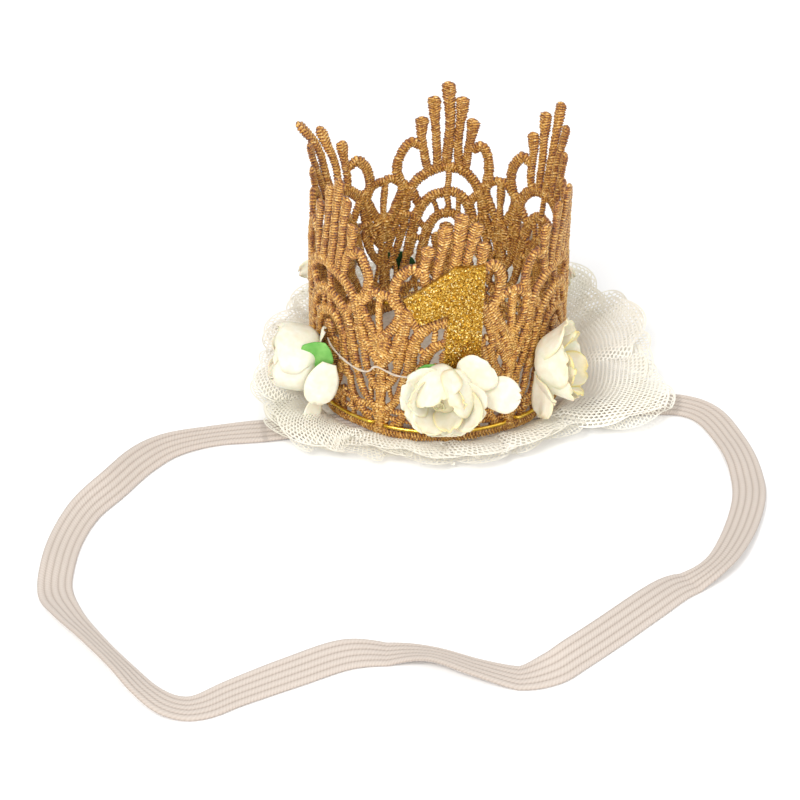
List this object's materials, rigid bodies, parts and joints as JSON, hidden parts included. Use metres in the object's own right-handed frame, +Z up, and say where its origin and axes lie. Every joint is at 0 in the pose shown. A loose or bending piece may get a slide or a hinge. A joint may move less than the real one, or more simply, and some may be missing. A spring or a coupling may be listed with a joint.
{
  "type": "mini crown headband",
  "caption": "Small pierced lace crown with a glitter numeral, paper roses and a gathered net ruffle, glued to a felt base on a loop of flat ribbed elastic.",
  "frame": {"origin": "centre of the felt base's underside, on the surface that the headband lies on", "axes": "+Z up along the crown, -Y towards the numeral and the elastic's loop, +X to the crown's right as seen from the front"},
  "size_m": [0.1721, 0.1858, 0.069],
  "materials": {
    "felt": "stiff ivory felt, matt",
    "elastic": "ribbed woven elastic, matt",
    "net": "stiff ivory net, matt",
    "lace": "tan gold satin-stitch thread, soft sheen",
    "wire": "bright gold wire",
    "glitter": "gold glitter on foam sheet",
    "paper": "ivory mulberry paper, matt",
    "leaf": "green paper, matt"
  },
  "bodies": {
    "root": {"base_pad": "felt", "elastic_band": "elastic", "ruffle_lower": "net", "ruffle_upper": "net", "lace_crown": "lace", "gold_wire": "wire", "number_one": "glitter", "rose_front": "paper", "rose_right": "paper", "rose_back_right": "paper", "rose_back_left": "paper", "rose_left": "paper", "leaf_front": "leaf", "leaf_left": "leaf", "leaf_back_left": "leaf", "leaf_back_right": "leaf"}
  },
  "joints": []
}
